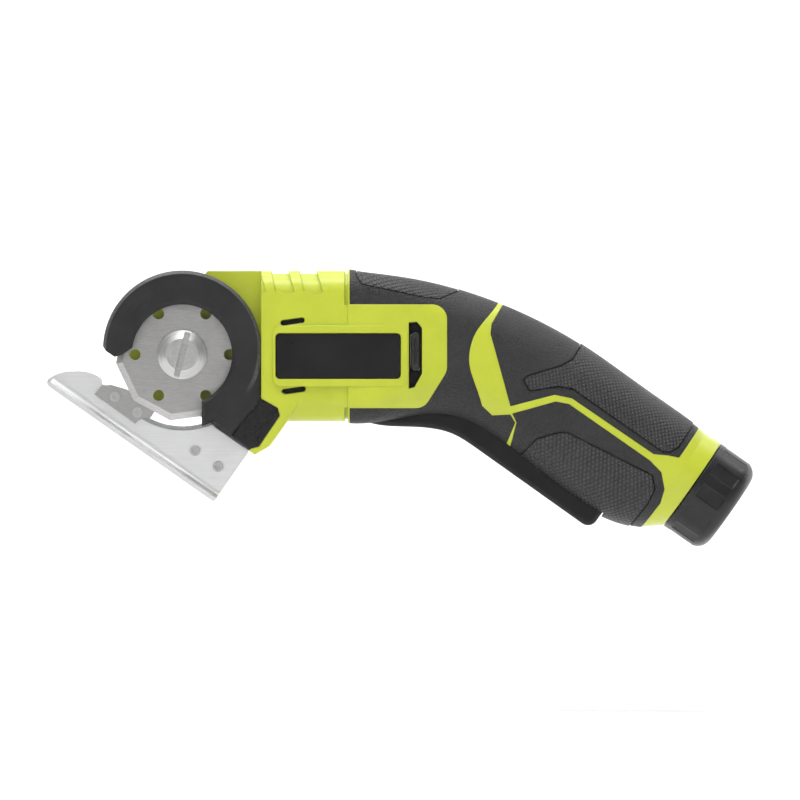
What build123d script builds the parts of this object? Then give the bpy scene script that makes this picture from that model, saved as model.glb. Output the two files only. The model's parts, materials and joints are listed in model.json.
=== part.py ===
"""Cordless rotary cutter with a ten-sided shear blade, built piece by piece.

Frame: millimetres, +Z up, +X from the cutting tip towards the battery end, Y = 0 on
the parting plane of the two housing halves, the blade on the -Y side.  The handle and
the sole share one slope, so both are drawn in one tilted frame whose origin is on the
sole line straight under the blade axis.
"""
import math
import os

from build123d import *

os.makedirs("parts", exist_ok=True)

# ---------------------------------------------------------------- driving dimensions
blade_axis_x = -72.27
blade_axis_z = 63.57
slope = 35.0                      # handle and sole fall this much towards the back
blade_corner_radius = 22.2        # 45 mm class blade, measured over its corners
blade_sides = 10
blade_thickness = 1.0
blade_height = 34.0               # blade axis above the sole

head_radius = 18.8
body_half_width = 17.5
barrel_top = 91.4
barrel_bottom = 41.4
barrel_front = -46.0
seam_x = -17.3
corner_radius = 7.5
skin = 1.2                        # soft overmould thickness
wall = 2.2

grip_half_width = 18.2
battery_axis_up = 95.9            # above the sole line, in the tilted frame
mouth_along = 163.5               # battery mouth along the tilted frame
cap_radius = 16.7
pack_radius = 12.9
pack_length = 72.0
cell_radius = 9.25
cell_length = 65.0

head_face_y = -9.0                # front face of the gear head wall
foot_thickness = 1.6
fixed_blade_thickness = 1.5
blade_back_y = -12.35
guard_face_y = -18.4
guard_radius = 26.2
guard_center_z = 65.23
guard_opening_radius = 16.6
guard_edge_x = -46.1

crown_teeth = 36
pinion_teeth = 9
gear_module = 0.75
crown_mean_radius = crown_teeth * gear_module / 2
pinion_pitch_radius = pinion_teeth * gear_module / 2

# ------------------------------------------------------------------------ work frames
cos_s = math.cos(math.radians(slope))
sin_s = math.sin(math.radians(slope))
sole_origin = (blade_axis_x - blade_height * sin_s, 0, blade_axis_z - blade_height * cos_s)
tilted = Plane(origin=sole_origin, x_dir=(cos_s, 0, -sin_s), z_dir=(0, -1, 0))
side = Plane.XZ


def at_slope(along, up, y=0):
    """Body-frame point of a spot given along and above the sole."""
    return tilted.from_local_coords((along, up, -y))


def xz(along, up):
    """Side-view pair (x, z) of a spot given along and above the sole."""
    spot = at_slope(along, up)
    return (spot.X, spot.Z)


def side_plane(y):
    return side.offset(-y)


def tilted_plane(y):
    return tilted.offset(-y)


def across_handle(along, up=battery_axis_up):
    """Plane square to the handle, looking towards the battery end."""
    spot = at_slope(along, up)
    return Plane(origin=spot, x_dir=(0, 1, 0), z_dir=(cos_s, 0, -sin_s))


def y_cylinder(x, z, radius, y_low, y_high):
    return Pos(x, (y_low + y_high) / 2, z) * Rot(90, 0, 0) * Cylinder(
        radius, y_high - y_low, mode=Mode.PRIVATE)


def y_cylinder_tilted(along, up, radius, y_low, y_high):
    spot = at_slope(along, up)
    return y_cylinder(spot.X, spot.Z, radius, y_low, y_high)


def save(builder, name):
    builder.part.label = name
    export_step(builder.part, "parts/" + name + ".step")


# ------------------------------------------------------------------ housing reference forms
def rounded_station(center, tilt, height, width, corner, inset):
    """One rounded cross-section of the rear body, square to its centre line."""
    turn = math.radians(tilt)
    plane = Plane(
        origin=center, x_dir=(0, 1, 0), z_dir=(math.cos(turn), 0, -math.sin(turn))
    )
    with BuildSketch(plane) as station:
        RectangleRounded(width - 2 * inset, height - 2 * inset, max(corner - inset, 1.5))
    return station.sketch


def rear_form(inset, tail=0.0):
    """Rear body from the barrel seam to the battery collar, shrunk all round by inset."""
    wide = 2 * grip_half_width
    grip = at_slope(103, 91.4)
    palm = at_slope(124, 91.2)
    heel = at_slope(143, 91.3)
    collar = at_slope(157.5 - tail, 93.2)
    stations = [
        rounded_station((seam_x, 0, 66.4), 0, 51.2, 36.0, 8.0, inset),
        rounded_station((4, 0, 65.5), 7, 46.4, 36.6, 10.0, inset),
        rounded_station((22.5, 0, 62.4), 20, 41.8, wide, 13.0, inset),
        rounded_station(grip, slope, 42.4, wide, 14.0, inset),
        rounded_station(palm, slope, 43.4, wide, 14.0, inset),
        rounded_station(heel, slope, 43.0, wide, 14.0, inset),
        rounded_station(collar, slope, 38.0, 35.4, 16.4, inset),
    ]
    with BuildPart() as rear:
        for station in stations:
            add(station)
        loft()
    body = rear.part
    if tail == 0:
        mouth = at_slope(mouth_along, battery_axis_up)
        end = rounded_station(mouth, slope, 2 * cap_radius, 2 * cap_radius, 16.3, inset)
        with BuildPart() as heel_cone:
            add(rounded_station(collar, slope, 38.0, 35.4, 16.4, inset))
            add(end)
            loft()
        body = body + heel_cone.part
    return body


def barrel_form(inset, front=barrel_front, back=seam_x):
    """Straight front barrel with rounded long edges."""
    with BuildPart() as barrel:
        with BuildSketch(Plane.YZ.offset(front)):
            with Locations((0, (barrel_top + barrel_bottom) / 2)):
                RectangleRounded(
                    2 * (body_half_width - inset),
                    barrel_top - barrel_bottom - 2 * inset,
                    corner_radius - inset / 2,
                )
        extrude(amount=back - front)
    return barrel.part


def head_outline(inset, y):
    """Side view of the gear head: a round boss with a neck and a nose along the sole."""
    with BuildSketch(side_plane(y)) as outline:
        with Locations((blade_axis_x, blade_axis_z)):
            Circle(head_radius - inset)
        with BuildLine():
            Polyline(
                (blade_axis_x - 1, blade_axis_z + head_radius - inset - 0.8),
                (blade_axis_x + 10.3, barrel_top + 2),
                (barrel_front + 4, barrel_top + 2),
                (barrel_front + 4, barrel_bottom + 4),
                xz(41.2 - inset, 35.8),
                xz(41.2 - inset, 25.8),
                xz(38.8 - inset, 20.6 + inset),
                xz(16.5, 20.6 + inset),
                xz(3.0, 24),
                close=True,
            )
        make_face()
    return outline.sketch


def head_form(inset, y_low):
    """Gear head behind the blade, with the same rounded long edges as the barrel."""
    outline = head_outline(inset, body_half_width + 5)
    block = extrude(outline, amount=body_half_width + 5 - y_low, dir=(0, -1, 0))
    end = Plane.YZ.offset(blade_axis_x - 30) * (Pos(0, barrel_top - 35) * RectangleRounded(
        2 * (body_half_width - inset), 70 - 2 * inset, corner_radius))
    return block & extrude(end, amount=65)


def region(sketch, half_width=30):
    """Prism over a side-view region, both ways from the parting plane."""
    return extrude(sketch, amount=half_width, dir=(0, 1, 0), both=True)


def grown(sketch, amount):
    return offset(sketch, amount=amount, kind=Kind.ARC)


# full outer surface, the green shell under the soft skin, and the hollow inside
outer_rear = rear_form(0)
shell_rear = rear_form(skin)
pad_floor_rear = rear_form(0.6)
pad_top_rear = rear_form(-0.3)
outer_barrel = barrel_form(0)
soft_skin = outer_rear - shell_rear

# ----------------------------------------------------------------- side-view regions
with BuildSketch(side) as side_panel_sketch:
    with BuildLine():
        FilletPolyline((seam_x - 3, 80.2), (15.6, 80.2), (15.6, 58.0), (8.0, 45.8),
                       (seam_x - 3, 45.8), radius=5.0)
        Line((seam_x - 3, 45.8), (seam_x - 3, 80.2))
    make_face()
side_panel = side_panel_sketch.sketch

with BuildSketch(side) as overmould_sketch:
    with BuildLine():
        Polyline((27.2, 46.6), (30.6, 43.4), (36.6, 43.7), (38.2, 41.0), (34.2, 31),
                 (seam_x + 0.6, 30), (seam_x + 0.6, 98), (27.0, 98), (32.9, 81.2))
        Spline((32.9, 81.2), (24.6, 69.8), (22.9, 62.5), (27.2, 46.6),
               tangents=((-0.5, -0.85), (0.25, -0.97)))
    make_face()
overmould_area = overmould_sketch.sketch - side_panel

with BuildSketch(side) as upper_grip_sketch:
    with BuildLine():
        Polyline((36.6, 46.4), (51.2, 50.2), (57.0, 49.0), xz(147.0, 96.6), xz(151.2, 99.0),
                 xz(154.6, 100.5), xz(154.6, 125), (37.5, 98), (34.2, 80.2), (30.4, 73.8),
                 (30.0, 70.4), close=True)
    make_face()
upper_grip_area = upper_grip_sketch.sketch

with BuildSketch(side) as lower_grip_sketch:
    with BuildLine():
        Polyline((37.2, 44.0), (51.5, 48.0), (56.0, 47.2), xz(147.0, 94.2), xz(152.5, 93.2),
                 xz(156.6, 89.2), xz(158.2, 84.5), xz(157.4, 60), (34.6, 25), (38.6, 41.0),
                 close=True)
    make_face()
lower_grip_area = lower_grip_sketch.sketch

with BuildSketch(side) as upper_pad_sketch:
    with BuildLine():
        Polyline((60.6, 84), (60.2, 66.2), (57.5, 61.8), (53.5, 59.6), (42.2, 56.2),
                 (41.2, 55.2), (43.0, 51.8), (52.9, 53.2), (57.3, 52.4), xz(149, 99.2),
                 xz(151.0, 100.6), xz(152.2, 103), xz(152.2, 125), close=True)
    make_face()
upper_pad_area = upper_pad_sketch.sketch

with BuildSketch(side) as lower_pad_sketch:
    with BuildLine():
        Polyline((45.4, 35.4), (52.9, 37.5), (55.7, 37.3), xz(150.6, 90.4), xz(153.8, 87.2),
                 xz(154.6, 82), xz(153.8, 60), xz(102, 60), (40.0, 29.8), close=True)
    make_face()
lower_pad_area = lower_pad_sketch.sketch

with BuildSketch(side) as thumb_sketch:
    with BuildLine():
        Polyline((-14.3, 98), (-14.3, 89.6), (-12.6, 87.0), (8.2, 82.6), (13.2, 82.2),
                 (19.2, 84.8), (19.2, 98), close=True)
    make_face()
thumb_area = thumb_sketch.sketch

with BuildSketch(side) as paddle_slot_sketch:
    with BuildLine():
        Polyline((-15.9, 30), (-15.9, 50.2), (0, 50.2), (18, 48.6), xz(104, 77.5),
                 xz(145.2, 77.5), xz(145.2, 55), xz(100, 40), close=True)
    make_face()
paddle_slot = region(paddle_slot_sketch.sketch, half_width=10.2)

with BuildSketch(side) as window_sketch:
    with BuildLine():
        Polyline((2.9, 74.2), (5.6, 74.4), (7.3, 72.3), (7.3, 57.3), (4.8, 52.7), (2.9, 52.2),
                 close=True)
    make_face()
window_area = window_sketch.sketch
window_local = window_sketch.sketch_local

# ------------------------------------------------------------------- internal layout
motor_radius = 12.0
shaft_radius = 2.0
gearbox_front = -43.5
gearbox_back = -31.0
motor_back = -2.5
bearing_radius = 8.0
bearing_width = 5.0
front_bearing_y = head_face_y + 0.2
rear_bearing_y = 9.0
pivot = (-12.0, 45.0)
spring_x = 40.0
spring_low = 27.6
spring_high = 37.2
button_x = 5.1
button_z = 64.6
screw_spots = [(-38.0, 84.4), (-8.0, 83.6), (-28.0, 47.0), (22.0, 77.4), xz(150, 78.9), xz(33, 27)]
screw_seat_y = 11.0

barrel_hollow = barrel_form(wall, front=barrel_front + wall, back=seam_x + 6)
head_hollow = head_form(wall, head_face_y + wall)
hollow_rear = rear_form(skin + wall, tail=1.5)
outer_all = outer_rear + outer_barrel + head_form(0, head_face_y)
hollow_all = hollow_rear + barrel_hollow + head_hollow

battery_bore = extrude(
    across_handle(mouth_along + 4) * Circle(pack_radius + 0.5), amount=-(pack_length + 8)
)


def ring_rib(x, thickness):
    """Cross rib of the barrel with a round seat for the motor."""
    with BuildPart() as rib:
        with BuildSketch(Plane.YZ.offset(x)):
            with Locations((0, (barrel_top + barrel_bottom) / 2)):
                Rectangle(2 * body_half_width - 2, barrel_top - barrel_bottom - 2)
            with Locations((0, blade_axis_z)):
                Circle(motor_radius, mode=Mode.SUBTRACT)
        extrude(amount=thickness)
    return rib.part


def pack_rib(along, thickness):
    """Cross rib of the handle with a round guide for the battery pack."""
    plane = across_handle(along)
    plate = plane * (Pos(0, -6) * Rectangle(60, 60))
    bore = plane * Circle(pack_radius + 0.5)
    return extrude(plate - bore, amount=thickness)


# ------------------------------------------------------------------- housing halves
ribs = ring_rib(-29, 1.6) + ring_rib(-12, 1.6)
for rib_along in (112, 132, 151):
    ribs = ribs + pack_rib(rib_along, 1.6)
for x, z in screw_spots:
    ribs = ribs + y_cylinder(x, z, 3.9, -body_half_width, body_half_width)
shelf = extrude(tilted_plane(0) * (Pos(125, 80.6) * Rectangle(54, 1.6)), amount=16, both=True)
bearing_boss = y_cylinder(blade_axis_x, blade_axis_z, bearing_radius + 2, head_face_y, -3.6)
rear_boss = y_cylinder(blade_axis_x, blade_axis_z, bearing_radius + 2, 8.9, body_half_width - 1)
pivot_boss = y_cylinder(pivot[0], pivot[1], 3.2, -16.5, 16.5)
inner_limit = barrel_form(skin, front=barrel_front + 1) + head_form(skin, head_face_y) + shell_rear
spring_seat = Pos(spring_x, 0, spring_high + 2.4) * Cylinder(3.2, 4.8)
structure = (ribs + shelf + pivot_boss) & inner_limit

full = outer_all - hollow_all + structure + bearing_boss + rear_boss
for area in (overmould_area, upper_grip_area, lower_grip_area):
    full = full - (soft_skin & region(area))
full = full - battery_bore
full = full - paddle_slot
full = full + (spring_seat - battery_bore)
full = full.solids().sort_by(SortBy.VOLUME)[-1]

# outside details shared by both halves
bezel_x = (-42.1 + 2.5) / 2
bezel_z = 63.05
notch_ring = outer_barrel - barrel_form(0.9)
with BuildSketch(side) as notch_sketch:
    for number in range(3):
        x = -52.6 + 9.4 * number
        with BuildLine():
            Polyline((x, 93), (x + 5.6, 93), (x + 8.2, 84.4), (x + 6.6, 83.6), (x + 2.0, 84.4),
                     close=True)
        make_face()
full = full - (notch_ring & region(notch_sketch.sketch))

with BuildSketch(side) as seam_sketch:
    with Locations((seam_x - 0.2, 90)):
        Rectangle(1.7, 20)
    with Locations((seam_x - 0.2, 40)):
        Rectangle(1.7, 12)
full = full - ((outer_barrel - barrel_form(0.8)) & region(seam_sketch.sketch))

for hand in (-1, 1):
    face_y = hand * body_half_width
    bezel = side_plane(face_y) * (Pos(bezel_x, bezel_z) * RectangleRounded(44.6, 20.2, 2.6))
    bezel = extrude(bezel, amount=1.9, dir=(0, hand, 0))
    full = full + (bezel & Box(300, 2 * (body_half_width + 0.9), 300))
    recess = side_plane(face_y - hand * 0.2) * (
        Pos(bezel_x - 0.7, bezel_z) * RectangleRounded(41.6, 15.2, 1.5))
    full = full - extrude(recess, amount=5, dir=(0, hand, 0))
    full = full - extrude(window_area.moved(Location((0, hand * 15.2, 0))), amount=8,
                          dir=(0, hand, 0))
    for vent_x, vent_z in ((-35.6, 74.5), (-35.2, 51.7)):
        vent = side_plane(hand * 16.2) * (Pos(vent_x, vent_z) * Rot(0, 0, 8) * SlotOverall(8.2, 1.9))
        full = full - extrude(vent, amount=5, dir=(0, hand, 0))

# bores and seats
spindle_bore = y_cylinder(blade_axis_x, blade_axis_z, bearing_radius, -9.5, rear_bearing_y + 5)
full = full - spindle_bore
button_slot = Pos(button_x, 0, button_z) * (side * SlotOverall(13.2, 3.1, rotation=90))
full = full - extrude(button_slot, amount=30, dir=(0, 1, 0), both=True)
full = full - y_cylinder(pivot[0], pivot[1], 1.5, -15.4, 15.4)
for x, z in screw_spots:
    full = full - y_cylinder(x, z, 1.25, -7.0, 0)
    full = full - y_cylinder(x, z, 1.45, 0, screw_seat_y + 1)
    full = full - y_cylinder(x, z, 2.9, screw_seat_y, 30)

# cast bracket behind the foot, buried in the nose of the gear head
with BuildPart() as foot_bracket:
    with BuildSketch(tilted_plane(head_face_y)):
        with BuildLine():
            Polyline((-9.5, 8), (-7.0, 5.0), (34.6, 5.0), (34.6, 20.5), (19.5, 20.5), (-2, 30),
                     (-9.5, 8))
        make_face()
        with Locations((0, blade_height)):
            Circle(23.8, mode=Mode.SUBTRACT)
    extrude(amount=-5.5)
    with BuildSketch(tilted_plane(head_face_y + wall)):
        with Locations((28, 24)):
            Rectangle(12, 14)
    extrude(amount=-3.3)
    with Locations(Plane(origin=at_slope(33, 27, head_face_y), z_dir=(0, -1, 0))):
        Cylinder(4.0, 30, mode=Mode.SUBTRACT)
    for screw_along in (21.7, 31.05):
        with Locations(Plane(origin=at_slope(screw_along, 10.3, head_face_y), z_dir=(0, -1, 0))):
            Cylinder(1.25, 20, mode=Mode.SUBTRACT)
    fillet(foot_bracket.edges().filter_by(Axis.Y).group_by(Axis.Z)[0], 1.2)
save(foot_bracket, "foot_bracket")
full = full - foot_bracket.part

left_block = Pos(0, -50, 0) * Box(400, 100, 400)
right_block = Pos(0, 50, 0) * Box(400, 100, 400)

# green lip round the nose block, on the blade side only
with BuildPart() as nose_lip:
    with BuildSketch(tilted_plane(head_face_y)):
        with BuildLine():
            Polyline((30, 36), (30, 42), (41.2, 44), (41.2, 25.8), (38.8, 20.6), (36.4, 20.6),
                     (30, 36))
        make_face()
    extrude(amount=body_half_width + head_face_y)
    fillet(nose_lip.faces().sort_by(Axis.Y)[0].edges(), 0.8)

with BuildPart() as nose_block:
    with BuildSketch(tilted_plane(head_face_y)):
        with BuildLine():
            Polyline((27.9, 37.4), (36.3, 38.2), (38.7, 36.2), (38.9, 23.4), (36.4, 20.6),
                     (29.0, 20.9), (27.9, 37.4))
        make_face()
    extrude(amount=8.6)
    fillet(nose_block.edges().filter_by(Axis.Y), 0.8)
    fillet(nose_block.faces().sort_by(Axis.Y)[0].edges(), 0.9)
save(nose_block, "nose_block")

with BuildPart() as housing_left:
    add(full)
    add(left_block, mode=Mode.INTERSECT)
    add(nose_lip.part)
    add(nose_block.part, mode=Mode.SUBTRACT)
save(housing_left, "housing_left")

with BuildPart() as housing_right:
    add(full)
    add(right_block, mode=Mode.INTERSECT)
save(housing_right, "housing_right")

# ------------------------------------------------------------------ soft skins and pads


def skin_part(area, layer):
    """Left half of a skin layer, cut to a side-view area."""
    return layer & extrude(area, amount=30, dir=(0, -1, 0))


thumb_pocket = (outer_rear - pad_floor_rear) & region(grown(thumb_area, 0.3))
pocket_skin = outer_rear - pad_floor_rear
pad_skin = pad_top_rear - pad_floor_rear
upper_pad_pocket = pocket_skin & region(grown(upper_pad_area, 0.4))
lower_pad_pocket = pocket_skin & region(grown(lower_pad_area, 0.4))
overmould_skin = skin_part(overmould_area, soft_skin)
upper_grip_skin = skin_part(upper_grip_area, soft_skin)
lower_grip_skin = skin_part(lower_grip_area, soft_skin)
upper_pad_skin = skin_part(upper_pad_area, pad_skin)
lower_pad_skin = skin_part(lower_pad_area, pad_skin)
thumb_skin = (rear_form(0.15) - pad_floor_rear) & region(thumb_area)
screw_wells = [y_cylinder(x, z, 2.9, screw_seat_y, 30) for x, z in screw_spots]

with BuildPart() as overmould_left:
    add(overmould_skin)
    add(thumb_pocket, mode=Mode.SUBTRACT)
    add(paddle_slot, mode=Mode.SUBTRACT)
save(overmould_left, "overmould_left")

with BuildPart() as grip_upper_left:
    add(upper_grip_skin)
    add(upper_pad_pocket, mode=Mode.SUBTRACT)
save(grip_upper_left, "grip_upper_left")

with BuildPart() as grip_lower_left:
    add(lower_grip_skin)
    add(lower_pad_pocket, mode=Mode.SUBTRACT)
    add(paddle_slot, mode=Mode.SUBTRACT)
save(grip_lower_left, "grip_lower_left")

with BuildPart() as pad_upper_left:
    add(upper_pad_skin)
save(pad_upper_left, "pad_upper_left")

with BuildPart() as pad_lower_left:
    add(lower_pad_skin)
    add(paddle_slot, mode=Mode.SUBTRACT)
save(pad_lower_left, "pad_lower_left")

with BuildPart() as thumb_pad:
    add(thumb_skin)
save(thumb_pad, "thumb_pad")

with BuildPart() as overmould_right:
    add(overmould_left.part)
    mirror(about=side, mode=Mode.REPLACE)
    add(screw_wells, mode=Mode.SUBTRACT)
save(overmould_right, "overmould_right")

with BuildPart() as grip_upper_right:
    add(grip_upper_left.part)
    mirror(about=side, mode=Mode.REPLACE)
save(grip_upper_right, "grip_upper_right")

with BuildPart() as grip_lower_right:
    add(grip_lower_left.part)
    mirror(about=side, mode=Mode.REPLACE)
    add(screw_wells, mode=Mode.SUBTRACT)
save(grip_lower_right, "grip_lower_right")

with BuildPart() as pad_upper_right:
    add(pad_upper_left.part)
    mirror(about=side, mode=Mode.REPLACE)
save(pad_upper_right, "pad_upper_right")

with BuildPart() as pad_lower_right:
    add(pad_lower_left.part)
    mirror(about=side, mode=Mode.REPLACE)
    add(screw_wells, mode=Mode.SUBTRACT)
save(pad_lower_right, "pad_lower_right")

# ------------------------------------------------------------------ plates and liners
with BuildPart() as label_plate_left:
    with BuildSketch(side_plane(-body_half_width + 0.2)):
        with Locations((bezel_x - 0.7, bezel_z)):
            RectangleRounded(41.4, 15.0, 1.4)
    extrude(amount=0.7)
    fillet(label_plate_left.faces().sort_by(Axis.Y)[0].edges(), 0.25)
save(label_plate_left, "label_plate_left")

with BuildPart() as label_plate_right:
    add(label_plate_left.part)
    mirror(about=side, mode=Mode.REPLACE)
save(label_plate_right, "label_plate_right")

liner_outline = grown(window_local, -0.1)
liner_rim = liner_outline - grown(window_local, -0.5)
with BuildPart() as window_liner_left:
    with BuildSketch(side_plane(-15.2)):
        add(liner_rim)
    extrude(amount=2.0)
    with BuildSketch(side_plane(-15.2)):
        add(liner_outline)
        with Locations((button_x, button_z)):
            SlotOverall(13.4, 3.3, rotation=90, mode=Mode.SUBTRACT)
    extrude(amount=0.7)
save(window_liner_left, "window_liner_left")

with BuildPart() as window_liner_right:
    add(window_liner_left.part)
    mirror(about=side, mode=Mode.REPLACE)
save(window_liner_right, "window_liner_right")

# --------------------------------------------------------------------------- guard
guard_center = (blade_axis_x, guard_center_z)
with BuildSketch(side) as guard_sketch:
    with Locations(guard_center):
        Circle(guard_radius)
    with BuildLine():
        Polyline((blade_axis_x, guard_center_z + guard_radius), (-60, guard_center_z + 22.5),
                 (guard_edge_x, guard_center_z + 1), (guard_edge_x, 50.4), xz(30.2, 32.0),
                 xz(28.7, 20.9), xz(17.5, 20.9), (-67, 44), (blade_axis_x - 2, 50), close=True)
    make_face()
    with BuildLine():
        Polyline((-115, 66.4), (-98.5, 66.4), (-97.5, 64.8), (-94.6, 62.8), (-92.2, 63.5),
                 (-88.6, 65.9), (blade_axis_x, 65.9), (-65.7, 58), (-65.7, 20), (-115, 20),
                 close=True)
    make_face(mode=Mode.SUBTRACT)
    with Locations((blade_axis_x, blade_axis_z)):
        Circle(guard_opening_radius, mode=Mode.SUBTRACT)
guard_local = guard_sketch.sketch_local

guard_inside = grown(guard_local, -1.8)

with BuildPart() as blade_guard:
    with BuildSketch(side_plane(head_face_y)):
        add(guard_local)
    extrude(amount=head_face_y - guard_face_y)
    front = blade_guard.faces().sort_by(Axis.Y)[0]
    rim_edges = [edge for edge in front.edges() if edge.length > 7]
    chamfer(rim_edges, 1.1)
    with BuildSketch(side_plane(head_face_y + 1)):
        add(guard_inside)
        with Locations((blade_axis_x, blade_axis_z)):
            Circle(blade_corner_radius + 1.2)
    extrude(amount=head_face_y + 1 - guard_face_y - 1.9, mode=Mode.SUBTRACT)
    with BuildSketch(side_plane(guard_face_y + 0.1)):
        with BuildLine():
            outer_arc = CenterArc((blade_axis_x, blade_axis_z), 23.0, 116, 26)
            inner_arc = CenterArc((blade_axis_x, blade_axis_z), 21.4, 116, 26)
            Line(outer_arc @ 0, inner_arc @ 0)
            Line(outer_arc @ 1, inner_arc @ 1)
        make_face()
    extrude(amount=0.35)
    add(nose_block.part, mode=Mode.SUBTRACT)
save(blade_guard, "blade_guard")

# ------------------------------------------------------------- foot and fixed blade
foot_arc_radius = 25.2
plate_front_y = head_face_y - foot_thickness
flange_edge_y = plate_front_y - 7.6
bend_radius = 2.4
with BuildPart() as foot_plate:
    with BuildSketch(tilted_plane(head_face_y)):
        with BuildLine():
            Polyline((-19.0, 12.05), (-17.4, 12.0), (-16.0, 10.6), (-8, 16), (21.3, 20.5),
                     (36.6, 20.5), (36.6, 0), (-30.6, 0))
            ThreePointArc((-30.6, 0), (-31.7, 0.9), (-31.7, 2.4))
            Spline((-31.7, 2.4), (-26.4, 8.9), (-19.0, 12.05), tangents=((0.35, 1), (1, 0.1)))
        make_face()
        with Locations((0, blade_height)):
            Circle(foot_arc_radius, mode=Mode.SUBTRACT)
    extrude(amount=foot_thickness)
    fillet(foot_plate.edges().filter_by(Axis.Y).sort_by(Axis.X)[-2:], 0.6)
    with BuildSketch(across_handle(-30.6, 0)):
        with BuildLine():
            Polyline((flange_edge_y, 1.5), (flange_edge_y, 0), (plate_front_y + 0.1, 0),
                     (plate_front_y + 0.1, 1.5 + bend_radius), (plate_front_y, 1.5 + bend_radius))
            RadiusArc((plate_front_y, 1.5 + bend_radius), (plate_front_y - bend_radius, 1.5),
                      bend_radius)
            Line((plate_front_y - bend_radius, 1.5), (flange_edge_y, 1.5))
        make_face()
    extrude(amount=67.2)
    for rivet_along in (-10.2, -1.2):
        with Locations(Plane(origin=at_slope(rivet_along, 9.75, head_face_y), z_dir=(0, -1, 0))):
            Cylinder(1.2, 10, mode=Mode.SUBTRACT)
    for screw_along in (21.7, 31.05):
        with Locations(Plane(origin=at_slope(screw_along, 10.3, head_face_y), z_dir=(0, -1, 0))):
            Cylinder(1.25, 10, mode=Mode.SUBTRACT)
save(foot_plate, "foot_plate")

with BuildPart() as fixed_blade:
    with BuildSketch(tilted_plane(plate_front_y)):
        with BuildLine():
            Polyline((-16.3, 6.4), (-16.0, 10.7), (-14.4, 11.2), (-13.9, 12.1), (-9.1, 13.8))
            ThreePointArc((-9.1, 13.8), (-3.0, 14.3), (3.3, 13.0))
            Polyline((3.3, 13.0), (3.4, 10.8), (1.7, 9.65), (0.6, 7.7), (0.3, 6.2), (-16.3, 6.4))
        make_face()
    extrude(amount=fixed_blade_thickness)
    for rivet_along in (-10.2, -1.2):
        with Locations(Plane(origin=at_slope(rivet_along, 9.75, head_face_y), z_dir=(0, -1, 0))):
            Cylinder(1.2, 10, mode=Mode.SUBTRACT)
    chamfer(fixed_blade.faces().sort_by(Axis.Y)[0].edges().sort_by(Axis.Z)[0:1], 0.3)
save(fixed_blade, "fixed_blade")

with BuildPart() as blade_rivets:
    for rivet_along in (-10.2, -1.2):
        spot = Plane(origin=at_slope(rivet_along, 9.75, head_face_y), z_dir=(0, -1, 0))
        with BuildSketch(spot):
            Circle(1.2)
        extrude(amount=foot_thickness + fixed_blade_thickness)
        with BuildSketch(spot.offset(foot_thickness + fixed_blade_thickness)):
            Circle(1.72)
            Circle(0.7, mode=Mode.SUBTRACT)
        extrude(amount=0.6)
save(blade_rivets, "blade_rivets")

with BuildPart() as foot_screws:
    for screw_along in (21.7, 31.05):
        spot = Plane(origin=at_slope(screw_along, 10.3, plate_front_y), z_dir=(0, -1, 0))
        with BuildSketch(spot.offset(-5.6)):
            Circle(1.25)
        extrude(amount=5.6)
        with BuildSketch(spot):
            Circle(1.75)
        extrude(amount=1.1)
        with BuildSketch(spot.offset(0.5)):
            RegularPolygon(0.95, 6)
        extrude(amount=0.6, mode=Mode.SUBTRACT)
save(foot_screws, "foot_screws")

# ------------------------------------------------------------------ blade and spindle
axis_spot = (blade_axis_x, blade_axis_z)
with BuildPart() as blade:
    with BuildSketch(side_plane(blade_back_y)):
        with Locations(axis_spot):
            RegularPolygon(blade_corner_radius, blade_sides, rotation=7.5)
    extrude(amount=0.25)
    with BuildSketch(side_plane(blade_back_y - 0.25)):
        with Locations(axis_spot):
            RegularPolygon(blade_corner_radius, blade_sides, rotation=7.5)
    with BuildSketch(side_plane(blade_back_y - blade_thickness)):
        with Locations(axis_spot):
            RegularPolygon(blade_corner_radius - 2.2, blade_sides, rotation=7.5)
    loft()
    with BuildSketch(side_plane(blade_back_y + 1)):
        with Locations(axis_spot):
            Circle(4.0)
            with PolarLocations(15.67, 6):
                Circle(1.83)
    extrude(amount=5, mode=Mode.SUBTRACT)
save(blade, "blade")

blade_front_y = blade_back_y - blade_thickness
with BuildPart() as blade_screw:
    with BuildSketch(side_plane(blade_front_y)):
        with Locations(axis_spot):
            Circle(8.2)
    extrude(amount=0.9)
    with BuildSketch(side_plane(blade_front_y - 0.9)):
        with Locations(axis_spot):
            Circle(8.2)
    with BuildSketch(side_plane(blade_front_y - 2.5)):
        with Locations(axis_spot):
            Circle(5.3)
    loft()
    with BuildSketch(side_plane(blade_front_y)):
        with Locations(axis_spot):
            Circle(2.9)
    extrude(amount=-9.5)
    with BuildSketch(side_plane(blade_front_y - 1.2)):
        with Locations(axis_spot):
            Rectangle(20, 1.9, rotation=90 - 14.3)
    extrude(amount=5, mode=Mode.SUBTRACT)
save(blade_screw, "blade_screw")

with BuildPart() as spindle:
    with BuildSketch(side_plane(blade_front_y)):
        with Locations(axis_spot):
            Circle(4.0)
    extrude(amount=-26)
    with BuildSketch(side_plane(blade_back_y)):
        with Locations(axis_spot):
            Circle(7.5)
    extrude(amount=-2.2)
    with BuildSketch(side_plane(blade_front_y - 1)):
        with Locations(axis_spot):
            Circle(2.9)
    extrude(amount=-10.5, mode=Mode.SUBTRACT)
save(spindle, "spindle")

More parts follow.
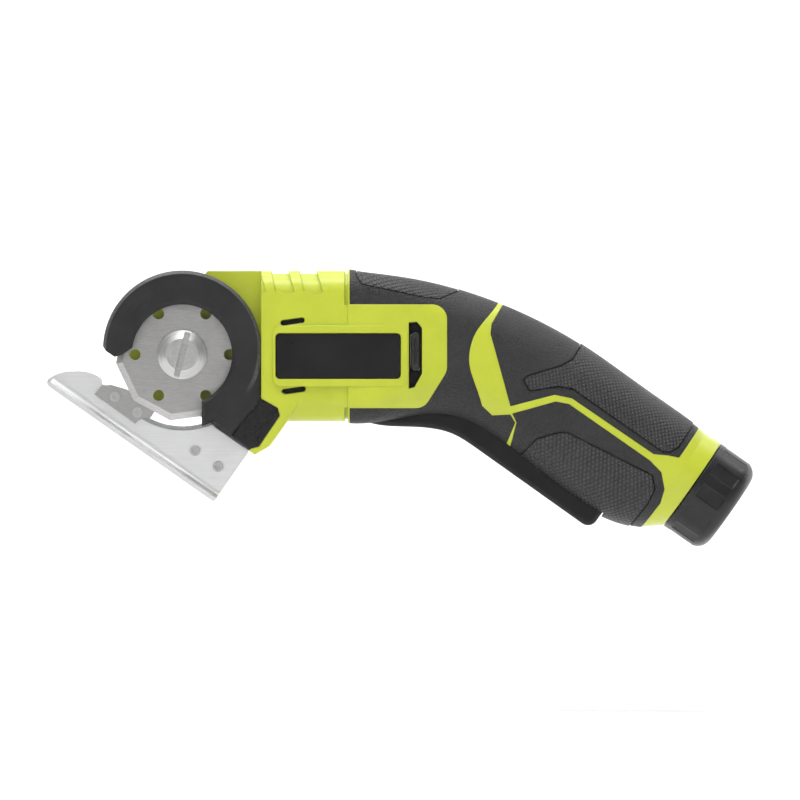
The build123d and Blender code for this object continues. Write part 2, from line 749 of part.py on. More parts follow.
# ------------------------------------------------------------------ right-angle drive
crown_face_y = pinion_pitch_radius + 0.95
crown_tooth_width = 0.36 * math.pi * gear_module
with BuildPart() as crown_wheel:
    with BuildSketch(side_plane(8.0)):
        with Locations(axis_spot):
            Circle(crown_mean_radius + 1.8)
            Circle(4.0, mode=Mode.SUBTRACT)
    extrude(amount=8.0 - crown_face_y)
    with BuildSketch(side_plane(crown_face_y)):
        with Locations(axis_spot):
            with PolarLocations(crown_mean_radius, crown_teeth, start_angle=180 / crown_teeth):
                Rectangle(2.4, crown_tooth_width * 0.9)
    extrude(amount=1.6)
save(crown_wheel, "crown_wheel")

pinion_mid_x = blade_axis_x + crown_mean_radius
with BuildPart() as pinion:
    with BuildSketch(Plane.YZ.offset(pinion_mid_x - 1.6)):
        with Locations((0, blade_axis_z)):
            Circle(pinion_pitch_radius - 0.85)
            with PolarLocations(pinion_pitch_radius - 0.15, pinion_teeth):
                Trapezoid(crown_tooth_width * 1.2, 1.7, 80, rotation=-90)
            Circle(shaft_radius, mode=Mode.SUBTRACT)
    extrude(amount=3.2)
save(pinion, "pinion")

with BuildPart() as drive_shaft:
    with BuildSketch(Plane.YZ.offset(pinion_mid_x - 2.0)):
        with Locations((0, blade_axis_z)):
            Circle(shaft_radius)
    extrude(amount=gearbox_back - 2 - pinion_mid_x + 2.0)
save(drive_shaft, "drive_shaft")


# ------------------------------------------------------------------ bearings and motor
with BuildPart() as spindle_bearings:
    for y in (front_bearing_y + bearing_width, rear_bearing_y + bearing_width):
        with BuildSketch(side_plane(y)):
            with Locations(axis_spot):
                Circle(bearing_radius)
                Circle(4.05, mode=Mode.SUBTRACT)
        extrude(amount=bearing_width)
save(spindle_bearings, "spindle_bearings")

motor_axis = (0, blade_axis_z)
with BuildPart() as gearbox_case:
    with BuildSketch(Plane.YZ.offset(gearbox_front)):
        with Locations(motor_axis):
            Circle(motor_radius)
    extrude(amount=gearbox_back - gearbox_front)
    fillet(gearbox_case.edges().sort_by(Axis.X)[0], 1.0)
    with BuildSketch(Plane.YZ.offset(gearbox_front)):
        with Locations(motor_axis):
            Circle(5.0)
    extrude(amount=-2.5)
    with BuildSketch(Plane.YZ.offset(gearbox_front - 3)):
        with Locations(motor_axis):
            Circle(shaft_radius + 0.05)
    extrude(amount=gearbox_back - gearbox_front + 2, mode=Mode.SUBTRACT)
save(gearbox_case, "gearbox_case")

with BuildPart() as motor_can:
    with BuildSketch(Plane.YZ.offset(gearbox_back)):
        with Locations(motor_axis):
            Circle(motor_radius)
    extrude(amount=motor_back - gearbox_back)
    fillet(motor_can.edges().sort_by(Axis.X)[-1], 1.2)
save(motor_can, "motor_can")

with BuildPart() as motor_terminals:
    for y in (-6.5, 6.5):
        with BuildSketch(Plane.YZ.offset(motor_back)):
            with Locations((y, blade_axis_z)):
                Rectangle(0.6, 2.8)
        extrude(amount=3.6)
save(motor_terminals, "motor_terminals")

# --------------------------------------------------------------------------- paddle
paddle_half_width = 9.5
pivot_along = 59.9
with BuildSketch(side) as paddle_sketch:
    with BuildLine():
        Polyline(xz(144.4, 72.4), xz(144.4, 67.7))
        Spline(xz(144.4, 67.7), xz(142.4, 64.5), xz(139.0, 64.2),
               tangents=((-sin_s, -cos_s), (-cos_s, sin_s)))
        Line(xz(139.0, 64.2), xz(97.0, 64.5))
        Spline(xz(97.0, 64.5), xz(88.2, 63.8), (-1.0, 39.7), (-12.0, 41.4),
               tangents=((-cos_s, sin_s), (-1, 0.3)))
        ThreePointArc((-12.0, 41.4), (-15.6, 45.0), (-12.0, 48.6))
        Spline((-12.0, 48.6), (2.0, 47.4), xz(98.0, 73.6),
               tangents=((1, 0), (cos_s, -sin_s)))
        Line(xz(98.0, 73.6), xz(144.4, 72.4))
    make_face()
paddle_area = paddle_sketch.sketch
open_top = region(side * Polygon((-6, 43), (5.7, 42), (17.8, 39.6), xz(97.5, 66.6), xz(142.4, 66.4),
                                 xz(142.4, 82), xz(90, 82), (-6, 56), align=None), half_width=7.6)

with BuildPart() as paddle:
    add(paddle_area)
    extrude(amount=paddle_half_width, dir=(0, 1, 0), both=True)
    lower_rims = [edge for edge in paddle.edges()
                  if edge.length > 35 and tilted.to_local_coords(edge @ 0.5).Y < 66]
    fillet(lower_rims, 1.6)
    add(open_top, mode=Mode.SUBTRACT)
    add(y_cylinder(pivot[0], pivot[1], 3.55, -paddle_half_width, paddle_half_width))
    add(y_cylinder(pivot[0], pivot[1], 1.55, -20, 20), mode=Mode.SUBTRACT)
    with Locations((14.0, 0, 46.1)):
        Box(2.0, 15.2, 8.8)
    with Locations((40.0, 0, 26.6)):
        Box(7.0, 15.2, 2.0)
save(paddle, "paddle")

with BuildPart() as pivot_pin:
    with BuildSketch(side_plane(15.4)):
        with Locations(pivot):
            Circle(1.5)
    extrude(amount=30.8)
save(pivot_pin, "pivot_pin")


# ------------------------------------------------- return spring, switch and lock button
spring_radius = 2.4
wire_radius = 0.3
with BuildPart() as return_spring:
    with BuildLine(Plane.XY.offset(spring_low + wire_radius)) as coil:
        Helix(1.5, spring_high - spring_low - 2 * wire_radius, spring_radius,
              center=(spring_x, 0, 0))
    with BuildSketch(Plane(origin=coil.line @ 0, z_dir=coil.line % 0)):
        Circle(wire_radius)
    sweep(is_frenet=True)
save(return_spring, "return_spring")

switch_x = 14.0
switch_z = 56.2
plunger_travel = 1.4
with BuildPart() as microswitch:
    with Locations((switch_x, 0, switch_z)):
        Box(12.8, 5.8, 6.4)
    with Locations((switch_x, 0, switch_z - 3.2)):
        Box(2.3, 1.9, 8.0, mode=Mode.SUBTRACT)
    for x in (-4.5, 4.5):
        with Locations((switch_x + x, 0, switch_z + 4.6)):
            Box(0.8, 2.2, 2.8)
save(microswitch, "microswitch")

with BuildPart() as switch_plunger:
    with Locations((switch_x, 0, switch_z - 3.6)):
        Box(2.2, 1.8, 3.6)
save(switch_plunger, "switch_plunger")

with BuildPart() as lock_button:
    with BuildSketch(side_plane(17.3)):
        with Locations((button_x, button_z)):
            SlotOverall(13.1, 3.0, rotation=90)
    extrude(amount=34.6)
    fillet(lock_button.faces().sort_by(Axis.Y)[0].edges(), 0.5)
    fillet(lock_button.faces().sort_by(Axis.Y)[-1].edges(), 0.5)
    for y in (-17.3, 17.3):
        with Locations((button_x, y, button_z)):
            Box(0.6, 1.0, 9.0, mode=Mode.SUBTRACT)
            Box(2.0, 1.0, 0.7, mode=Mode.SUBTRACT)
save(lock_button, "lock_button")

# ----------------------------------------------------------------------- battery pack
pack_front = mouth_along - pack_length
with BuildPart() as battery_case:
    with BuildSketch(across_handle(pack_front)):
        Circle(pack_radius)
    extrude(amount=pack_length)
    fillet(battery_case.edges().sort_by(Axis.X)[0], 1.5)
    with BuildSketch(across_handle(pack_front + 3)):
        Circle(cell_radius + 0.1)
    extrude(amount=cell_length + 0.2, mode=Mode.SUBTRACT)
    for up in (-5, 5):
        with BuildSketch(across_handle(pack_front - 1, battery_axis_up + up)):
            Rectangle(5.0, 3.0)
        extrude(amount=5, mode=Mode.SUBTRACT)
save(battery_case, "battery_case")

with BuildPart() as battery_cell:
    with BuildSketch(across_handle(pack_front + 3.1)):
        Circle(cell_radius)
    extrude(amount=cell_length)
save(battery_cell, "battery_cell")

with BuildPart() as pack_contacts:
    for up in (-5, 5):
        with BuildSketch(across_handle(pack_front + 0.6, battery_axis_up + up)):
            Rectangle(4.9, 2.9)
        extrude(amount=2.4)
save(pack_contacts, "pack_contacts")

cap_length = 15.3
with BuildPart() as battery_cap:
    with BuildSketch(across_handle(mouth_along + 0.4)):
        Circle(cap_radius)
    extrude(amount=cap_length)
    fillet(battery_cap.edges().sort_by(Axis.X)[-1], 5.0)
    with BuildSketch(across_handle(mouth_along + 2.6)):
        with PolarLocations(cap_radius + 1.2, 12):
            RectangleRounded(3.0, 5.6, 0.6)
    extrude(amount=9.0, mode=Mode.SUBTRACT)
    with BuildSketch(across_handle(mouth_along + cap_length - 1.2)):
        Circle(9.5)
        Circle(8.3, mode=Mode.SUBTRACT)
    extrude(amount=3, mode=Mode.SUBTRACT)
    with BuildSketch(across_handle(mouth_along)):
        Circle(pack_radius)
    extrude(amount=0.4)
save(battery_cap, "battery_cap")

with BuildPart() as socket_block:
    with BuildSketch(across_handle(pack_front - 4.4)):
        RectangleRounded(20, 18, 3)
    extrude(amount=3.0)
save(socket_block, "socket_block")

with BuildPart() as socket_contacts:
    for up in (-5, 5):
        with BuildSketch(across_handle(pack_front - 1.4, battery_axis_up + up)):
            Rectangle(3.2, 1.6)
        extrude(amount=1.0)
save(socket_contacts, "socket_contacts")

# ------------------------------------------------------------------- board and wiring
with BuildPart() as control_board:
    with Locations((20.0, 0, 69.6)):
        Box(17.0, 22.0, 1.6)
save(control_board, "control_board")

with BuildPart() as board_parts:
    with BuildSketch(Plane.XY.offset(70.4)):
        with Locations((15.5, -5), (24.0, 4)):
            Circle(2.4)
    extrude(amount=2.8)
    with BuildSketch(Plane.XY.offset(70.4)):
        with Locations((23.0, -5), (15.5, 5.5)):
            Rectangle(4.4, 5.0)
    extrude(amount=1.5)
save(board_parts, "board_parts")


def wire(points, radius=0.7):
    """Soft wire swept through its points."""
    path = Spline(*points)
    profile = Plane(origin=path @ 0, z_dir=path % 0) * Circle(radius)
    return sweep(profile, path=path)


motor_wires_shape = [wire([(0.8, y, blade_axis_z + 2.2), (3.0, 2.0 * y, 76), (12, 1.5 * y, 72.6)])
                     for y in (-6.5, 6.5)]
with BuildPart() as motor_wires:
    add(motor_wires_shape)
save(motor_wires, "motor_wires")

# ------------------------------------------------------------------------- fasteners
with BuildPart() as housing_screws:
    for x, z in screw_spots:
        with BuildSketch(Plane.XZ.offset(-screw_seat_y)):
            with Locations((x, z)):
                Circle(2.6)
        extrude(amount=-1.9)
        with BuildSketch(Plane.XZ.offset(-screw_seat_y)):
            with Locations((x, z)):
                Circle(1.25)
        extrude(amount=17)
        with BuildSketch(Plane.XZ.offset(-screw_seat_y - 0.9)):
            with Locations((x, z)):
                Rectangle(3.2, 0.7)
                Rectangle(0.7, 3.2)
        extrude(amount=-2, mode=Mode.SUBTRACT)
save(housing_screws, "housing_screws")
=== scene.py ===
import json
import math

import bmesh
import bpy
import mathutils
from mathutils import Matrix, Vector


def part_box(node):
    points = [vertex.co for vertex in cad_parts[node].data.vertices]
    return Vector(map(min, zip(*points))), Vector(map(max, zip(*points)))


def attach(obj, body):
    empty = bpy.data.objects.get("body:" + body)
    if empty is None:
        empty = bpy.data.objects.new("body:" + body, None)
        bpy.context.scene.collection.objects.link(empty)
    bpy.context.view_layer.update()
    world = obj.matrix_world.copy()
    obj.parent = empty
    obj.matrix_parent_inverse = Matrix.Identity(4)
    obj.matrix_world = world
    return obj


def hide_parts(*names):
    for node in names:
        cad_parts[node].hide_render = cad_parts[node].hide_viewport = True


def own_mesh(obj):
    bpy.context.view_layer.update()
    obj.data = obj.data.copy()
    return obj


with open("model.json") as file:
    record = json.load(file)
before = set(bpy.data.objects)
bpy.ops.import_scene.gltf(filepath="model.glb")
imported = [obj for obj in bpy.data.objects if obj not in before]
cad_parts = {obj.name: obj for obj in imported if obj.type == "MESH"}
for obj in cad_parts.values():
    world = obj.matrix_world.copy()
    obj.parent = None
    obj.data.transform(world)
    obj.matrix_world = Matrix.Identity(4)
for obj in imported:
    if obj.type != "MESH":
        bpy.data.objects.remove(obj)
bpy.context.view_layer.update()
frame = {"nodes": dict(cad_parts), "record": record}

# ---- where things are on the object, in metres -----------------------------------------
SLOPE = math.radians(35)
GRIP_RADIUS = 0.0165
DOT_PITCH = 0.00155
guard_low, guard_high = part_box("blade_guard")
blade_low, blade_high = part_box("blade")
BLADE_X = (blade_low[0] + blade_high[0]) / 2
BLADE_Z = (blade_low[2] + blade_high[2]) / 2
ARC_RADIUS = 0.0262
ARC_Z = guard_high[2] - ARC_RADIUS
# heights over which the painted highlight on the guard's rim fades in
RIM_HIGHLIGHT_FADE = (0.050, 0.056)


# ---- node helpers ----------------------------------------------------------------------
class Graph:
    """A small wrapper that adds nodes to one material and wires them."""

    def __init__(self, name):
        self.material = bpy.data.materials.new(name)
        self.material.use_nodes = True
        self.tree = self.material.node_tree
        self.shader = self.tree.nodes["Principled BSDF"]
        self.position = self.node("ShaderNodeTexCoord").outputs["Object"]

    def node(self, kind, **settings):
        made = self.tree.nodes.new(kind)
        for key, value in settings.items():
            setattr(made, key, value)
        return made

    def wire(self, source, socket):
        if hasattr(source, "links"):
            self.tree.links.new(source, socket)
        else:
            socket.default_value = source

    def math(self, operation, *values, clamp=False):
        made = self.node("ShaderNodeMath", operation=operation, use_clamp=clamp)
        for value, socket in zip(values, made.inputs):
            self.wire(value, socket)
        return made.outputs[0]

    def split(self, vector):
        made = self.node("ShaderNodeSeparateXYZ")
        self.wire(vector, made.inputs[0])
        return made.outputs

    def join(self, x, y, z=0.0):
        made = self.node("ShaderNodeCombineXYZ")
        for value, socket in zip((x, y, z), made.inputs):
            self.wire(value, socket)
        return made.outputs[0]

    def stretch(self, vector, scale, turn=0.0):
        made = self.node("ShaderNodeMapping", vector_type="POINT")
        self.wire(vector, made.inputs["Vector"])
        made.inputs["Scale"].default_value = scale
        made.inputs["Rotation"].default_value = (0, turn, 0)
        return made.outputs[0]

    def noise(self, vector, scale, detail=3.0, rough=0.55):
        made = self.node("ShaderNodeTexNoise")
        self.wire(vector, made.inputs["Vector"])
        made.inputs["Scale"].default_value = scale
        made.inputs["Detail"].default_value = detail
        made.inputs["Roughness"].default_value = rough
        return made.outputs[0]

    def cells(self, vector, scale, feature="F1", randomness=1.0, flat=False):
        made = self.node("ShaderNodeTexVoronoi", feature=feature)
        made.voronoi_dimensions = "2D" if flat else "3D"
        self.wire(vector, made.inputs["Vector"])
        made.inputs["Scale"].default_value = scale
        made.inputs["Randomness"].default_value = randomness
        return made.outputs["Distance"]

    def band(self, value, low, high, out_low=0.0, out_high=1.0):
        made = self.node("ShaderNodeMapRange", interpolation_type="SMOOTHSTEP")
        for given, socket in zip((value, low, high, out_low, out_high), made.inputs):
            self.wire(given, socket)
        return made.outputs[0]

    def mix(self, factor, first, second):
        made = self.node("ShaderNodeMix", data_type="RGBA")
        self.wire(factor, made.inputs[0])
        for colour, socket in ((first, made.inputs[6]), (second, made.inputs[7])):
            self.wire(tuple(colour) + (1.0,) if isinstance(colour, tuple) else colour, socket)
        return made.outputs[2]

    def bump(self, height, strength, distance, normal=None):
        made = self.node("ShaderNodeBump")
        made.inputs["Strength"].default_value = strength
        made.inputs["Distance"].default_value = distance
        self.wire(height, made.inputs["Height"])
        if normal is not None:
            self.wire(normal, made.inputs["Normal"])
        return made.outputs[0]

    def rounded(self, radius):
        made = self.node("ShaderNodeBevel", samples=4)
        made.inputs["Radius"].default_value = radius
        return made.outputs[0]

    def about(self, axis_x, axis_z):
        """Distance from an axis along Y, the angle round it, and the height."""
        x, y, z = self.split(self.position)[:3]
        dx = self.math("SUBTRACT", x, axis_x)
        dz = self.math("SUBTRACT", z, axis_z)
        squares = self.math("ADD", self.math("POWER", dx, 2.0), self.math("POWER", dz, 2.0))
        return self.math("SQRT", squares), self.math("ARCTAN2", dz, dx), z

    def done(self, colour, rough, normal, metal=0.0, **sockets):
        self.wire(tuple(colour) + (1.0,) if isinstance(colour, tuple) else colour,
                  self.shader.inputs["Base Color"])
        self.wire(rough, self.shader.inputs["Roughness"])
        self.wire(normal, self.shader.inputs["Normal"])
        self.shader.inputs["Metallic"].default_value = metal
        for key, value in sockets.items():
            self.shader.inputs[key.replace("_", " ")].default_value = value
        return self.material


def moulded(name, colour, shade, rough, grain, height, edge=0.0004, rim_highlight=None, coat=0.0, shine=0.5):
    """Moulded plastic: fine eroded grain, slow colour drift and softened edges.

    The rim colour, if the piece has one, is a painted highlight along the top of the guard's outer edge,
    broken into patches by the dust noise.
    """
    g = Graph(name)
    drift = g.noise(g.position, 60, 4)
    dust = g.noise(g.position, 900, 3)
    body = g.mix(g.band(drift, 0.35, 0.7), colour, shade)
    body = g.mix(g.band(dust, 0.62, 0.8, 0.0, 0.25), body, tuple(0.6 * c for c in shade))
    # painted highlight: a lighter band along the guard's outer rim, only near its top, broken up by the
    # dust noise
    if rim_highlight:
        radius, angle, z = g.about(BLADE_X, ARC_Z)
        outer = g.math("MULTIPLY", g.band(radius, ARC_RADIUS - 0.0012, ARC_RADIUS - 0.0009),
                       g.band(radius, ARC_RADIUS + 0.0004, ARC_RADIUS + 0.0002))
        outer = g.math("MULTIPLY", outer, g.band(z, *RIM_HIGHLIGHT_FADE))
        painted_rim_highlight = g.math("MULTIPLY", outer, g.band(dust, 0.25, 0.7, 0.5, 1.0))
        body = g.mix(painted_rim_highlight, body, rim_highlight)
    gloss = g.math("ADD", g.band(drift, 0.3, 0.75, rough - 0.05, rough + 0.06),
                   g.band(dust, 0.3, 0.8, -0.03, 0.05))
    texture = g.noise(g.position, grain, 2, 0.6)
    normal = g.bump(texture, height, 0.00012, g.rounded(edge))
    return g.done(body, gloss, normal, Coat_Weight=coat, Coat_Roughness=0.3, Specular_IOR_Level=shine)


def pebbled(name, colour, light, rough, size, height):
    """Soft overmould: small rounded pebbles, lighter on their tops, with painted shade in the hollows
    between them.
    """
    g = Graph(name)
    distance = g.cells(g.position, size, "SMOOTH_F1")
    fine = g.noise(g.position, size * 2.6, 2)
    drift = g.noise(g.position, 55, 4)
    bumps = g.math("ADD", g.band(distance, 0.1, 0.75, 1.0, 0.0), g.math("MULTIPLY", fine, 0.5))
    # painted shade: the colour drops to 0.6 in the hollows between pebbles, following the bump height
    body = g.mix(g.band(bumps, 0.3, 1.3), tuple(0.6 * c for c in colour), colour)
    body = g.mix(g.band(drift, 0.4, 0.75, 0.0, 0.6), body, light)
    gloss = g.band(drift, 0.3, 0.7, rough - 0.06, rough + 0.08)
    normal = g.bump(bumps, height, 0.0002, g.rounded(0.0004))
    return g.done(body, gloss, normal, Specular_IOR_Level=0.4)


def along_handle(g):
    """Distance along the handle, distance square to it, and Y, from the object's position."""
    x, y, z = g.split(g.position)[:3]
    along = g.math("SUBTRACT", g.math("MULTIPLY", x, math.cos(SLOPE)),
                   g.math("MULTIPLY", z, math.sin(SLOPE)))
    across = g.math("ADD", g.math("MULTIPLY", x, math.sin(SLOPE)),
                    g.math("MULTIPLY", z, math.cos(SLOPE)))
    return along, across, y


def dotted(name, colour, light, rough):
    """Grip rubber: staggered raised dots that follow the handle, over a fine grain; the dots are painted
    lighter and the ground between them carries painted shade.
    """
    g = Graph(name)
    along, across, y = along_handle(g)
    turn = g.math("ARCTAN2", g.math("SUBTRACT", across, GRIP_MIDDLE), g.math("ABSOLUTE", y))
    round_it = g.math("MULTIPLY", turn, GRIP_RADIUS)
    first = g.math("ADD", along, round_it)
    second = g.math("SUBTRACT", along, round_it)
    distance = g.cells(g.join(first, second), 1 / DOT_PITCH, "F1", 0.0, True)
    dots = g.band(distance, 0.16, 0.44, 1.0, 0.0)
    fine = g.noise(g.position, 5200, 2)
    drift = g.noise(g.position, 60, 4)
    # painted highlight and shade: the raised dots are lighter and the ground between them darker,
    # following the dot height
    body = g.mix(dots, tuple(0.3 * c for c in colour), tuple(1.5 * c for c in colour))
    body = g.mix(g.band(drift, 0.4, 0.8, 0.0, 0.3), body, light)
    height = g.math("ADD", dots, g.math("MULTIPLY", fine, 0.14))
    gloss = g.band(drift, 0.3, 0.7, rough - 0.05, rough + 0.07)
    normal = g.bump(height, 1.0, 0.0006, g.rounded(0.0004))
    return g.done(body, gloss, normal, Specular_IOR_Level=0.6)


def brushed(name, colour, shade, rough, scale, turn=0.0, height=0.25, aniso=0.35, edge=0.00018):
    """Sheet metal brushed along one direction, with fine scratches and faint smudges."""
    g = Graph(name)
    lines = g.noise(g.stretch(g.position, scale, turn), 1.0, 4, 0.65)
    smudge = g.noise(g.position, 70, 4)
    spots = g.noise(g.position, 1500, 2)
    body = g.mix(g.band(lines, 0.3, 0.72), shade, colour)
    body = g.mix(g.band(smudge, 0.45, 0.8, 0.0, 0.35), body, tuple(0.85 * c for c in shade))
    gloss = g.math("ADD", g.band(lines, 0.3, 0.7, rough - 0.05, rough + 0.07),
                   g.math("ADD", g.band(smudge, 0.4, 0.8, 0.0, 0.09), g.band(spots, 0.6, 0.8, 0.0, 0.06)))
    normal = g.bump(lines, height, 0.00006, g.rounded(edge))
    return g.done(body, gloss, normal, 1.0, Anisotropic=aniso)


def turned(name, colour, shade, rough, pitch, height=0.3, edge=0.00025):
    """Metal ground or turned about the blade's axis: fine rings and a few radial scratches."""
    g = Graph(name)
    radius, angle, z = g.about(BLADE_X, BLADE_Z)
    rings = g.noise(g.join(g.math("DIVIDE", radius, pitch), g.math("MULTIPLY", angle, 1.2)), 1.0, 3, 0.6)
    smudge = g.noise(g.position, 90, 4)
    pits = g.noise(g.position, 2200, 2)
    body = g.mix(g.band(rings, 0.3, 0.72), shade, colour)
    body = g.mix(g.band(smudge, 0.45, 0.8, 0.0, 0.4), body, tuple(0.85 * c for c in shade))
    gloss = g.math("ADD", g.band(rings, 0.3, 0.7, rough - 0.05, rough + 0.06),
                   g.math("ADD", g.band(smudge, 0.4, 0.8, 0.0, 0.08), g.band(pits, 0.6, 0.8, 0.0, 0.05)))
    normal = g.bump(rings, height, 0.00005, g.rounded(edge))
    return g.done(body, gloss, normal, 1.0)


# middle of the grip, measured square to the handle, from the battery case's own box
case_low, case_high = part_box("battery_case")
GRIP_MIDDLE = (math.sin(SLOPE) * (case_low[0] + case_high[0]) / 2
               + math.cos(SLOPE) * (case_low[2] + case_high[2]) / 2)

GREY = (1.0, 1.0, 1.03)


def grey(value):
    """A slightly cool grey of that reflectance."""
    return tuple(value * c for c in GREY)


looks = {
    "lime_plastic": moulded("lime_plastic", (0.50, 0.56, 0.03), (0.45, 0.51, 0.024),
                            rough=0.36, grain=5200, height=0.35, edge=0.0005, coat=0.15),
    "overmould_rubber": pebbled("overmould_rubber", grey(0.021), grey(0.032),
                                rough=0.5, size=1900, height=0.8),
    "grip_rubber": dotted("grip_rubber", grey(0.030), grey(0.042), rough=0.46),
    "label_black": moulded("label_black", grey(0.006), grey(0.009),
                           rough=0.34, grain=5200, height=0.08, edge=0.0003, shine=0.3),
    "liner_black": moulded("liner_black", grey(0.004), grey(0.007),
                           rough=0.5, grain=3800, height=0.3, edge=0.0003, shine=0.25),
    # the guard's rim colour is a painted highlight along the top of its outer edge
    "guard_black": moulded("guard_black", grey(0.009), grey(0.016),
                           rough=0.42, grain=3000, height=0.9, edge=0.0006, rim_highlight=grey(0.07), shine=0.4),
    "nose_black": moulded("nose_black", grey(0.006), grey(0.009),
                          rough=0.32, grain=5200, height=0.12, edge=0.0007, shine=0.4),
    "paddle_plastic": moulded("paddle_plastic", grey(0.005), grey(0.008),
                              rough=0.4, grain=5200, height=0.15, edge=0.0006, shine=0.3),
    "cap_plastic": moulded("cap_plastic", grey(0.004), grey(0.008),
                           rough=0.34, grain=4600, height=0.3, edge=0.0006, shine=0.45),
    "button_plastic": moulded("button_plastic", grey(0.012), grey(0.02),
                              rough=0.4, grain=5200, height=0.15, edge=0.0004),
    "blade_steel": brushed("blade_steel", (0.50, 0.495, 0.49), (0.40, 0.396, 0.392),
                           rough=0.38, scale=(420, 420, 4200), height=0.3),
    "foot_steel": brushed("foot_steel", (0.86, 0.862, 0.865), (0.80, 0.802, 0.806),
                          rough=0.36, scale=(60, 900, 3600), turn=SLOPE, height=0.06),
    "fastener_steel": brushed("fastener_steel", (0.62, 0.62, 0.62), (0.5, 0.5, 0.5),
                              rough=0.3, scale=(1500, 1500, 1500), height=0.2),
    "screw_steel": turned("screw_steel", (0.56, 0.56, 0.557), (0.45, 0.45, 0.446),
                          rough=0.36, pitch=0.00045, height=0.25),
}


def other_look(entry):
    """A fitting finish for the parts inside the housing, from the record's class and colour."""
    name = entry["slot"]
    colour = tuple(entry["base_color"])
    shade = tuple(0.7 * c for c in colour)
    if entry["class"] in ("brushed_steel", "chrome", "aluminium", "brass"):
        return brushed(name, colour, shade, rough=0.34, scale=(2400, 2400, 2400), height=0.3)
    return moulded(name, colour, shade, rough=0.42, grain=3200, height=0.35)


for entry in frame["record"]["materials"]:
    if entry["slot"] not in looks:
        looks[entry["slot"]] = other_look(entry)

for part in frame["record"]["subparts"]:
    piece = frame["nodes"][part["node"]]
    piece.data.materials.clear()
    piece.data.materials.append(looks[part["material_slot"]])



# ---- dark plates on the vent floors, painted shade for the slots' depth ----------------
def bar(name, outline, y, thick, side, look):
    """A thin plate with that outline in X and Z, its inner face at y, on one side of the housing."""
    shell = bmesh.new()
    near = [shell.verts.new((x, side * (y + thick), z)) for x, z in outline]
    far = [shell.verts.new((x, side * y, z)) for x, z in outline]
    shell.faces.new(near)
    shell.faces.new(far[::-1])
    count = len(outline)
    for k in range(count):
        shell.faces.new((near[k], near[(k + 1) % count], far[(k + 1) % count], far[k]))
    bmesh.ops.recalc_face_normals(shell, faces=shell.faces)
    mesh = bpy.data.meshes.new(name)
    shell.to_mesh(mesh)
    shell.free()
    mesh.materials.append(look)
    piece = bpy.data.objects.new(name, mesh)
    bpy.context.scene.collection.objects.link(piece)
    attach(piece, "housing")
    return piece


def slot_outline(x, z, length, width, tilt):
    """Round-ended slot outline about (x, z), tilted by that angle."""
    points = []
    reach = (length - width) / 2
    for side in (1, -1):
        for step in range(9):
            turn = math.radians(-90 + 180 * step / 8) + (0 if side == 1 else math.pi)
            u = side * reach + width / 2 * math.cos(turn)
            v = width / 2 * math.sin(turn)
            points.append((x + u * math.cos(tilt) - v * math.sin(tilt),
                           z + u * math.sin(tilt) + v * math.cos(tilt)))
    return points


VENTS = {"upper": (-0.0356, 0.0745), "lower": (-0.0352, 0.0517)}
VENT_SIZE = (0.0078, 0.0016)
VENT_TILT = math.radians(8)
VENT_FLOOR = 0.01622
VENT_THICK = 0.00012
# a thin black plate on each vent's floor is painted shade, standing in for the dark depth of the slot
for side, side_name in ((-1, "left"), (1, "right")):
    for level, (x, z) in VENTS.items():
        outline = slot_outline(x, z, *VENT_SIZE, VENT_TILT)
        vent = bar("vent_painted_shade_%s_%s" % (level, side_name), outline, VENT_FLOOR, VENT_THICK, side,
                   looks["liner_black"])

# ---- the return spring, as a copy with its own mesh on the housing -----------------------
coil = bpy.data.objects.new("spring_coil", frame["nodes"]["return_spring"].data.copy())
bpy.context.scene.collection.objects.link(coil)
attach(coil, "housing")
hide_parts("return_spring")
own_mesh(coil)

# ---- floor, light and camera -----------------------------------------------------------
# The floor is a paper bowl, low enough for the battery to slide out above it.
FLOOR = -0.056
INNER = 0.4
FLAT = 3.9
BEND = 1.1
WALL = 4.5
TURNS = 72
BEND_STEPS = 12

profile = [(INNER, FLOOR), (FLAT, FLOOR)]
for step in range(1, BEND_STEPS + 1):
    turn = math.radians(90 * step / BEND_STEPS)
    profile.append((FLAT + BEND * math.sin(turn), FLOOR + BEND - BEND * math.cos(turn)))
profile.append((FLAT + BEND, FLOOR + WALL))

points = [(0.0, 0.0, FLOOR)]
for radius, z in profile:
    for k in range(TURNS):
        turn = 2 * math.pi * k / TURNS
        points.append((radius * math.cos(turn), radius * math.sin(turn), z))

faces = [(0, 1 + k, 1 + (k + 1) % TURNS) for k in range(TURNS)]
for ring in range(len(profile) - 1):
    low = 1 + ring * TURNS
    high = low + TURNS
    faces += [(low + k, high + k, high + (k + 1) % TURNS, low + (k + 1) % TURNS) for k in range(TURNS)]

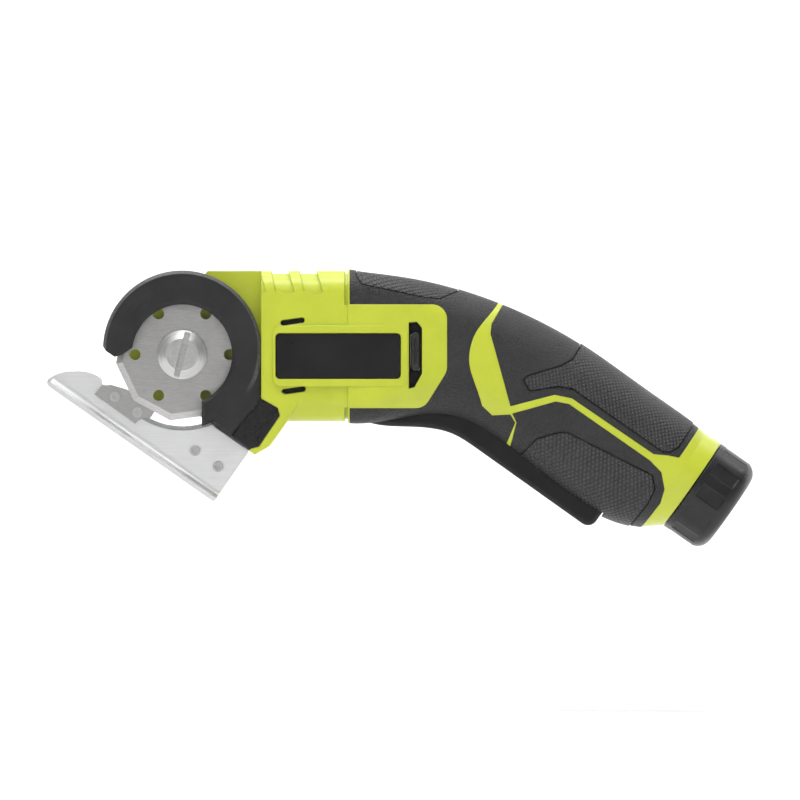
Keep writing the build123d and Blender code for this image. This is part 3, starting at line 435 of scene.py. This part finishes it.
sweep = bpy.data.meshes.new("paper_sweep")
sweep.from_pydata(points, [], faces)
sweep.polygons.foreach_set("use_smooth", [True] * len(faces))
paper = bpy.data.objects.new("paper_sweep", sweep)
bpy.context.scene.collection.objects.link(paper)
g = Graph("paper")
fibre = g.noise(g.position, 260, 4)
tone = g.mix(g.band(fibre, 0.3, 0.7), (0.80, 0.80, 0.80), (0.83, 0.83, 0.83))
sweep.materials.append(g.done(tone, 0.9, g.bump(fibre, 0.05, 0.0002), Specular_IOR_Level=0.1))

# The room is dim at eye level and brighter overhead.
LOW_AT = -0.15
HIGH_AT = 0.9
LOW_LIGHT = 0.12
HIGH_LIGHT = 0.55
world = bpy.data.worlds.new("soft_room")
bpy.context.scene.world = world
world.use_nodes = True
sky = world.node_tree.nodes
wires = world.node_tree.links
direction = sky.new("ShaderNodeTexCoord")
parts = sky.new("ShaderNodeSeparateXYZ")
fade = sky.new("ShaderNodeMapRange")
for socket, value in zip(fade.inputs[1:5], (LOW_AT, HIGH_AT, LOW_LIGHT, HIGH_LIGHT)):
    socket.default_value = value
wires.new(direction.outputs["Generated"], parts.inputs[0])
wires.new(parts.outputs["Z"], fade.inputs[0])
wires.new(fade.outputs[0], sky["Background"].inputs["Strength"])
sky["Background"].inputs["Color"].default_value = (1.0, 1.0, 1.0, 1.0)


def softbox(name, place, aim, size, power):
    """A rectangular light at place that points at aim."""
    light = bpy.data.lights.new(name, "AREA")
    light.shape = "RECTANGLE"
    light.size, light.size_y = size
    light.energy = power
    lamp = bpy.data.objects.new(name, light)
    bpy.context.scene.collection.objects.link(lamp)
    lamp.location = place
    towards = [a - b for a, b in zip(aim, place)]
    lamp.rotation_euler = mathutils.Vector(towards).to_track_quat("-Z", "Y").to_euler()
    return lamp


MIDDLE = (0.0, 0.0, 0.045)
softbox("top_light", (-0.15, -0.35, 1.2), MIDDLE, (1.1, 0.5), 14)
softbox("front_light", (-0.7, -1.6, 1.2), MIDDLE, (0.9, 0.6), 5)
softbox("paper_light", (0.0, 1.2, 2.9), (0.0, 4.4, 0.3), (6.0, 1.5), 230)

camera_data = bpy.data.cameras.new("camera")
camera = bpy.data.objects.new("camera", camera_data)
bpy.context.scene.collection.objects.link(camera)
bpy.context.scene.camera = camera
camera.location = (0.0, -3.0, 0.0485)
camera.rotation_euler = (math.radians(90), 0, 0)
camera_data.lens = 405
camera_data.sensor_width = 36
camera_data.clip_start = 0.05
camera_data.clip_end = 50
bpy.context.scene.view_settings.view_transform = "Standard"
